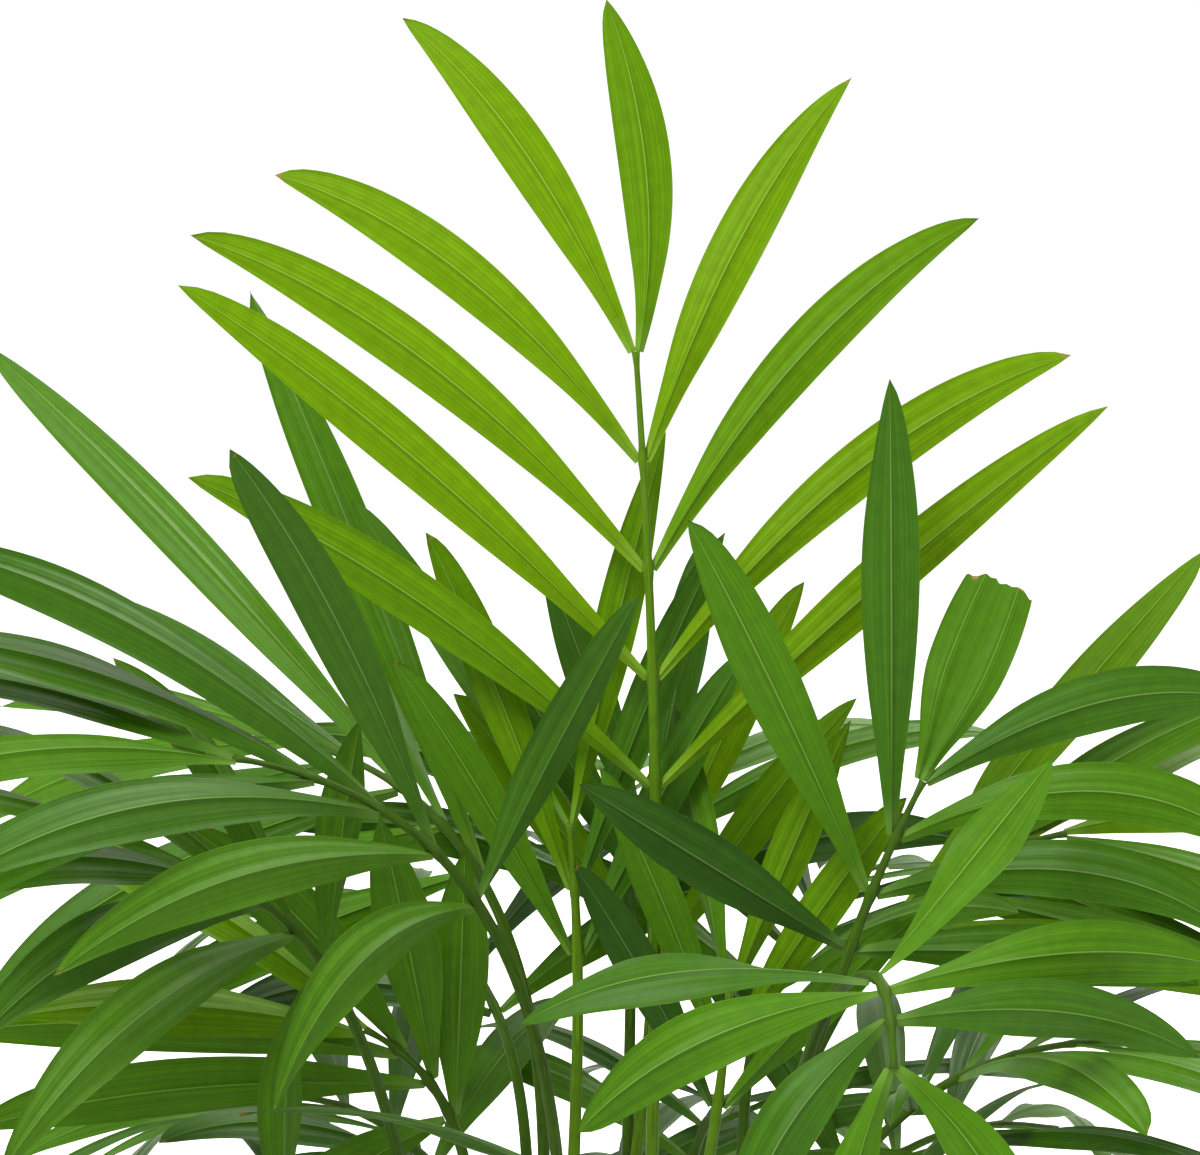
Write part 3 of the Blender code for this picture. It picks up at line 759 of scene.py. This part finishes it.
def blade_grid(line, width, broad, sign, length, random):
    """A leaflet's vertices in rows, with their two maps."""
    down, place, ahead, face = fine_line(line, LEAF_ROWS + 1)
    across = np.cross(ahead, face)
    roll = np.radians(random.uniform(-TWIST, TWIST)) * down**1.5
    turn_cos, turn_sin = np.cos(roll)[:, None], np.sin(roll)[:, None]
    across, face = across * turn_cos + face * turn_sin, face * turn_cos - across * turn_sin
    aside = np.array(LEAF_ACROSS)
    fused = broad > 1
    slender = random.uniform()
    outer = outline(CUT_EDGE if fused else blend(BLUNT_OUTER, SLENDER_OUTER, slender), down)
    inner = outline(CUT_EDGE if fused else blend(BLUNT_INNER, SLENDER_INNER, slender), down)
    toward_tip = -sign * aside > 0
    half = np.where(toward_tip, outer[:, None], inner[:, None]) * width * broad / 2
    own = np.where(aside < 0, aside * 2 + 1, aside * 2 - 1) if fused else aside
    fold = FOLD_AT_END + (FOLD_AT_FOOT - FOLD_AT_END) * (1 - down) ** 2
    steep = fold[:, None] * np.abs(own)
    pleat = PLEAT * (np.cos(np.abs(own) * 4 * math.pi) - 1) * smooth(down * 4)[:, None]
    ripple = np.sin(2 * math.pi * (down * random.uniform(1.2, 2.4) + random.uniform()))
    wave = WAVE * ripple[:, None] * aside * np.abs(aside)
    ridge = RIDGE * np.exp(-((own / 0.06) ** 2)) * smooth((1 - down) * 3)[:, None]
    rise = -steep * half * (0.5 if fused else 1) + pleat * half + wave + ridge
    sunk = np.sqrt(np.maximum(1 - fold[:, None] ** 2 * 0.5, 0.5))
    reach = aside * half * sunk
    grid = place[:, None] + across[:, None] * reach[..., None] + face[:, None] * rise[..., None]
    if fused:
        teeth = random.uniform(-0.012, 0.012, len(aside))
        end = 0.012 * np.cos(own * math.pi / 2) + teeth - 0.03 * aside**2
        lobe = smooth((down - 0.80) / 0.20)[:, None] * end * length
        grid = grid + ahead[:, None] * lobe[..., None]
    leaf_map = np.stack(np.broadcast_arrays(0.5 + own / 2, down[:, None]), -1)
    start = random.uniform(0, 20, 2)
    grain = np.stack([start[0] + aside * half * 10, start[1] + down[:, None] * length * 10 + 0 * aside], -1)
    return grid, leaf_map, grain


def make_leaflets(frond, grown, looks, random):
    points, faces, leaf_map, grain, slots = [], [], [], [], []
    first = 0
    tones = TONES_OF.get(frond.name) or OTHER_TONES
    names = list(dict.fromkeys(tones))
    for pair in range(frond.pairs):
        t = pair / (frond.pairs - 1)
        for sign, side in ((-1, frond.left), (1, frond.right)):
            line = grown[frond.name, pair, sign]
            broad = along(side.broad, t)
            length = along(side.length, t)
            grid, on_leaf, on_grain = blade_grid(line, frond.width, broad, sign, length, random)
            rows, columns = grid.shape[:2]
            made = grid_faces(rows, columns, first)
            points.append(grid.reshape(-1, 3))
            leaf_map.append(on_leaf.reshape(-1, 2))
            grain.append(on_grain.reshape(-1, 2))
            faces.append(made)
            slots.append(np.full(len(made), names.index(tones[random.integers(len(tones))])))
            first += rows * columns
    mesh = new_mesh("leaflets_" + frond.name, np.concatenate(points), np.concatenate(faces))
    for name in names:
        mesh.materials.append(looks["leaf_" + name])
    mesh.polygons.foreach_set("material_index", np.concatenate(slots).astype(np.int32))
    write_map(mesh, "leaf", np.concatenate(leaf_map))
    write_map(mesh, "grain", np.concatenate(grain))
    show(mesh, ["frond_" + frond.name])


def tube(path, radii, faces_up, sides):
    """Rings of vertices round a path, grooved on the side that faces up, and how far each lies along it."""
    path = np.array(path)
    ahead = unit(np.gradient(path, axis=0))
    up = unit(np.array(faces_up) - ahead * (np.array(faces_up) * ahead).sum(1, keepdims=True))
    right = np.cross(ahead, up)
    turn = np.linspace(0, 2 * math.pi, sides, endpoint=False)
    groove = 1 - 0.22 * np.maximum(np.cos(turn), 0) ** 6
    reach = np.array(radii)[:, None] * groove
    grid = path[:, None] + (
        right[:, None] * (np.sin(turn) * reach)[..., None] + up[:, None] * (np.cos(turn) * reach)[..., None]
    )
    distance = np.concatenate([[0], np.cumsum(np.linalg.norm(np.diff(path, axis=0), axis=1))])
    return grid, distance


def tube_mesh(name, grid, down):
    """A closed tube from its rings, with a map of the way round and the way along."""
    rows, sides = grid.shape[:2]
    points = grid.reshape(-1, 3)
    faces = [tuple(f) for f in grid_faces(rows, sides, 0, closed=True)]
    last = (rows - 1) * sides
    faces.append(tuple(range(sides))[::-1])
    faces.append(tuple(range(last, last + sides)))
    mesh = new_mesh(name, points, faces)
    around = np.abs(np.linspace(-1, 1, sides, endpoint=False))
    flat = np.stack(np.broadcast_arrays(around[None], np.array(down)[:, None]), -1).reshape(-1, 2)
    write_map(mesh, "rib", flat)
    return mesh


def make_rib(frond, petiole, rachis, looks):
    """The petiole and the rachis as one tapering limb, swollen at its sheath and where leaflets join."""
    foot, leave = frond_foot(frond)
    stem = STEMS[frond.stem]
    lean = Vector((stem.lean_x, stem.lean_y, stem.height)).normalized()
    inward = Vector((0, 0, 0))
    if frond.seat:
        axis_point = stem_point(stem, 1 - 0.18 * frond.seat)
        inward = (axis_point - foot) * 0.55
    dip = lean * SHEATH_DIP
    path = [foot + inward - dip, foot + inward * 0.8 - dip * 0.5, foot + inward * 0.3]
    length = (Vector(frond.start) - foot).length
    run = (Vector(frond.tip) - Vector(frond.start)).length
    steps = max(int(length / RIB_STEP), 8)
    path += [petiole(i / steps) for i in range(1, steps + 1)]
    below = len(path)
    steps = max(int(run / RIB_STEP * 2), 16)
    shares = [i / steps for i in range(1, steps + 1)]
    path += [rachis(t) for t in shares]
    radii, faces_up = [], []
    start_face = rachis_frame(frond, rachis, 0)[3]
    along_path = 0
    for i in range(below):
        along_path += (path[i] - path[i - 1]).length if i else 0
        share = min(max((along_path - SHEATH_DIP) / length, 0), 1)
        swell = SHEATH_SWELL * max(0, 1 - abs(along_path - SHEATH_DIP * 0.4) / SHEATH_REACH) ** 1.5
        radii.append(PETIOLE_FOOT + (PETIOLE_END - PETIOLE_FOOT) * share + swell)
        faces_up.append(start_face)
    pairs = [p / (frond.pairs - 1) for p in range(frond.pairs)]
    for t in shares:
        near = min(abs(t - p) * run for p in pairs)
        swell = JOINT_SWELL * math.exp(-((near / JOINT_REACH) ** 2))
        radii.append(PETIOLE_END + (RIB_END - PETIOLE_END) * t + swell)
        faces_up.append(rachis_frame(frond, rachis, t)[3])
    grid, distance = tube(path, radii, faces_up, RIB_SIDES)
    mesh = tube_mesh("rib_" + frond.name, grid, distance * 60)
    young = frond.name == "top" or frond.name.startswith("young")
    mesh.materials.append(looks["rib_young" if young else "rib"])
    show(mesh, ["petiole_" + frond.name])


def make_stem(number, looks, random):
    """A cane with a flared foot, ringed where old leaves fell."""
    stem = STEMS[number]
    rows = int(stem.height / 0.0009)
    shares = np.linspace(-0.02, 1.0, rows)
    path, radii, rings = [], [], []
    spacing = STEM_RINGS * random.uniform(0.9, 1.15)
    phase = random.uniform()
    for share in shares:
        path.append(stem_point(stem, share))
        height = share * stem.height
        ring = (height / spacing + phase) % 1
        bulge = 0.00045 * math.exp(-(min(ring, 1 - ring) / 0.09) ** 2)
        flare = 0.0016 * math.exp(-max(height, 0) / 0.005)
        radii.append(stem_radius(share) + bulge + flare)
        rings.append(height / spacing + phase)
    path.append(path[-1] + UP * 0.0012)
    radii.append(radii[-1] * 0.45)
    rings.append(rings[-1] + 0.1)
    grid, _ = tube(path, radii, [Vector((0.0, -1.0, 0.0))] * len(path), STEM_FINE_SIDES)
    mesh = tube_mesh(f"cane_{number + 1}", grid, rings)
    mesh.materials.append(looks["cane"])
    show(mesh, [f"stem_{number + 1}"])


def lathe(name, profile, sides):
    """A closed mesh turned from (radius, height) points that run from axis to axis."""
    turn = np.linspace(0, 2 * math.pi, sides, endpoint=False)
    rings = [(r, z) for r, z in profile if r > 0]
    grid = np.array([[(r * c, r * s, z) for c, s in zip(np.cos(turn), np.sin(turn))] for r, z in rings])
    points = [tuple(p) for p in grid.reshape(-1, 3)]
    faces = [tuple(f) for f in grid_faces(len(rings), sides, 0, closed=True)]
    top, bottom = len(points), len(points) + 1
    points += [(0, 0, profile[0][1]), (0, 0, profile[-1][1])]
    last = (len(rings) - 1) * sides
    for j in range(sides):
        k = (j + 1) % sides
        faces.append((top, k, j))
        faces.append((bottom, last + j, last + k))
    mesh = new_mesh(name, points, faces)
    fix = bmesh.new()
    fix.from_mesh(mesh)
    bmesh.ops.recalc_face_normals(fix, faces=fix.faces)
    fix.to_mesh(mesh)
    fix.free()
    mesh.shade_smooth()
    return mesh


def rounded(corners, radius, steps=4):
    """A profile whose inner corners are rounded off by arcs of a Bezier curve."""
    done = [corners[0]]
    for before, corner, after in zip(corners, corners[1:], corners[2:]):
        a, c, b = (np.array(p, float) for p in (before, corner, after))
        cut = min(radius, np.linalg.norm(a - c) * 0.45, np.linalg.norm(b - c) * 0.45)
        p, q = c + unit(a - c) * cut, c + unit(b - c) * cut
        for i in range(steps + 1):
            t = i / steps
            done.append(tuple(p * (1 - t) ** 2 + c * 2 * t * (1 - t) + q * t**2))
    return done + [corners[-1]]


def make_pot(looks):
    band = POT_HEIGHT - RIM_BAND
    rim = POT_HEIGHT
    walls = [(outer_radius(z), z) for z in np.linspace(band - 0.006, 0.006, 12)]
    corners = rounded([
        (0, POT_FLOOR),
        (inner_radius(POT_FLOOR), POT_FLOOR),
        (inner_radius(rim), rim),
        (RIM_RADIUS, rim),
        (RIM_RADIUS - SOFT_EDGE / 2, band),
        (outer_radius(band), band - SOFT_EDGE / 2),
        *walls,
        (FOOT_RADIUS, 0),
        (0, 0),
    ], SOFT_EDGE * 0.9)
    mesh = lathe("clay_pot", corners, 128)
    mesh.materials.append(looks["fired_clay"])
    pot = show(mesh, ["pot"])
    for i in range(DRAIN_HOLES):
        turn = 2 * math.pi * (i + 0.5) / DRAIN_HOLES
        drill = bmesh.new()
        bmesh.ops.create_cone(
            drill, cap_ends=True, segments=24, radius1=DRAIN_RADIUS, radius2=DRAIN_RADIUS, depth=POT_FLOOR * 2
        )
        cutter_mesh = bpy.data.meshes.new(f"drill_{i + 1}")
        drill.to_mesh(cutter_mesh)
        drill.free()
        cutter = bpy.data.objects.new(cutter_mesh.name, cutter_mesh)
        bpy.context.scene.collection.objects.link(cutter)
        cutter.location = (math.cos(turn) * DRAIN_RING, math.sin(turn) * DRAIN_RING, POT_FLOOR / 2)
        cut = pot.modifiers.new("Drain", "BOOLEAN")
        cut.operation, cut.solver, cut.object = "DIFFERENCE", "EXACT", cutter
        with bpy.context.temp_override(object=pot, active_object=pot):
            bpy.ops.object.modifier_apply(modifier=cut.name)
        bpy.data.objects.remove(cutter)


def make_soil(looks, random):
    """A lumpy surface over the soil's solid, with loose crumbs lying on it."""
    low = POT_FLOOR + SEAT_GAP
    brim = inner_radius(SOIL_TOP) - 0.0012
    waves = random.uniform(60, 420, (40, 2)) * random.choice([-1, 1], (40, 2))
    phases = random.uniform(0, 2 * math.pi, 40)
    sizes = 0.0012 / (1 + np.linalg.norm(waves, axis=1) / 120)

    def surface(x, y):
        rise = sum(s * math.sin(w[0] * x + w[1] * y + p) for s, w, p in zip(sizes, waves, phases))
        fall = 0.0022 * (math.hypot(x, y) / brim) ** 6
        return SOIL_TOP + 0.35 * rise - fall

    sides, rings = 96, 40
    radii = [brim * (i + 1) / rings for i in range(rings)]
    points = [(0, 0, surface(0, 0))]
    for r in radii:
        for j in range(sides):
            turn = 2 * math.pi * j / sides
            x, y = r * math.cos(turn), r * math.sin(turn)
            points.append((x, y, surface(x, y)))
    faces = [(0, 1 + j, 1 + (j + 1) % sides) for j in range(sides)]
    faces += [tuple(f) for f in grid_faces(rings, sides, 1, closed=True)[:, ::-1]]
    first = len(points)
    foot = inner_radius(low) - 0.001
    for j in range(sides):
        turn = 2 * math.pi * j / sides
        points.append((foot * math.cos(turn), foot * math.sin(turn), low))
    rim = 1 + (rings - 1) * sides
    faces += [(rim + (j + 1) % sides, rim + j, first + j, first + (j + 1) % sides) for j in range(sides)]
    faces.append(tuple(range(first, first + sides))[::-1])
    mesh = new_mesh("potting_soil", points, faces)
    mesh.materials.append(looks["soil"])
    show(mesh, ["soil"])
    lumps = bmesh.new()
    for _ in range(900):
        turn, reach = random.uniform(0, 2 * math.pi), brim * 0.985 * math.sqrt(random.uniform())
        x, y = reach * math.cos(turn), reach * math.sin(turn)
        size = random.uniform(0.0006, 0.0019)
        made = bmesh.ops.create_icosphere(lumps, subdivisions=1, radius=size)
        squash = random.uniform(0.5, 1.0, 3)
        slot = int(random.choice(3, p=(0.55, 0.35, 0.10)))
        for corner in made["verts"]:
            corner.co = Vector(c * s for c, s in zip(corner.co * random.uniform(0.8, 1.15), squash))
            corner.co += Vector((x, y, surface(x, y) + size * 0.3))
        for face in {f for v in made["verts"] for f in v.link_faces}:
            face.material_index = slot
    mesh = bpy.data.meshes.new("soil_crumbs")
    lumps.to_mesh(mesh)
    lumps.free()
    for name in ("soil", "bark_bit", "pale_bit"):
        mesh.materials.append(looks[name])
    show(mesh, [])


def make_looks():
    looks = {"leaf_" + tone: leaf_material(tone) for tone in TONES}
    looks["rib"] = rib_material("rib_green", (0.032, 0.076, 0.003), 0.45, (0.018, 0.040, 0.003))
    looks["rib_young"] = rib_material("rib_fresh", (0.058, 0.128, 0.002), 0.45, (0.036, 0.086, 0.002))
    looks["cane"] = stem_material()
    looks["fired_clay"] = clay_material()
    looks["soil"] = earth_material("soil_dark", (0.040, 0.026, 0.017))
    looks["bark_bit"] = earth_material("soil_bark", (0.090, 0.050, 0.026))
    looks["pale_bit"] = earth_material("soil_pale", (0.42, 0.38, 0.32))
    return looks


def make_floor():
    """A wide pale floor, which meets the white surroundings far behind the plant."""
    turns = np.linspace(0, 2 * math.pi, FLOOR_SIDES, endpoint=False)
    rim = [(FLOOR_REACH * math.cos(turn), FLOOR_REACH * math.sin(turn), 0) for turn in turns]
    floor = bpy.data.objects.new("floor", new_mesh("floor", rim, [range(FLOOR_SIDES)]))
    bpy.context.scene.collection.objects.link(floor)
    pale = Material("pale_floor", (0.93, 0.93, 0.93), 0.9, 0.1)
    mottle = pale.noise(pale.place(), 3.0)
    pale.colour(pale.mix(pale.between(mottle, 0.3, 0.7), (0.92, 0.92, 0.92), (0.94, 0.94, 0.94)))
    floor.data.materials.append(pale.data)


def make_light(name, place, aim, size, watts, colour=(1, 1, 1)):
    lamp = bpy.data.lights.new(name, "AREA")
    lamp.size = size
    lamp.energy = watts
    lamp.color = colour
    thing = bpy.data.objects.new(name, lamp)
    bpy.context.scene.collection.objects.link(thing)
    thing.location = place
    thing.rotation_euler = (Vector(aim) - Vector(place)).to_track_quat("-Z", "Y").to_euler()


def make_studio():
    world = bpy.data.worlds.new("studio")
    world.use_nodes = True
    back = world.node_tree.nodes["Background"]
    back.inputs["Color"].default_value = (1, 1, 1, 1)
    back.inputs["Strength"].default_value = 1.12
    bpy.context.scene.world = world
    make_light("key", (-0.8, -1.0, 2.0), (0, 0, 0.3), 0.8, 60, (1, 0.98, 0.94))
    make_light("back", (0.7, 1.2, 1.6), (0, 0, 0.35), 0.8, 36, (1, 0.98, 0.92))
    bpy.context.scene.view_settings.view_transform = "Standard"
    bpy.context.scene.view_settings.look = "None"


def make_camera():
    camera = bpy.data.cameras.new("camera")
    camera.sensor_fit = "HORIZONTAL"
    camera.sensor_width = SENSOR * 1000
    camera.lens = LENS * 1000
    camera.clip_start = 0.05
    thing = bpy.data.objects.new("camera", camera)
    bpy.context.scene.collection.objects.link(thing)
    pitch = math.radians(CAMERA_PITCH)
    thing.location = (
        CAMERA_X, -CAMERA_DISTANCE * math.cos(pitch), CAMERA_AIM + CAMERA_DISTANCE * math.sin(pitch)
    )
    thing.rotation_euler = (math.pi / 2 - pitch, 0, 0)
    bpy.context.scene.camera = thing


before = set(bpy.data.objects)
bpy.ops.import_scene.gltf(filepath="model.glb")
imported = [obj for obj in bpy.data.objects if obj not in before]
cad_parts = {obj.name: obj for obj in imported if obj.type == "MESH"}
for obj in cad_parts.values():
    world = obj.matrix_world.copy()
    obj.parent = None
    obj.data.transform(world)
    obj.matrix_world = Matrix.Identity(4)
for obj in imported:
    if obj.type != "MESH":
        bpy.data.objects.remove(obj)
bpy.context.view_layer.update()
make_camera()
make_studio()
make_floor()
looks = make_looks()
fronds = [*shown_fronds(), *arching_fronds()]
paths, grown = grow(fronds)
random = np.random.default_rng(SEED)
for number in range(len(STEMS)):
    make_stem(number, looks, random)
for frond in fronds:
    petiole, rachis = paths[frond.name]
    make_rib(frond, petiole, rachis, looks)
    make_leaflets(frond, grown, looks, random)
make_pot(looks)
make_soil(looks, random)
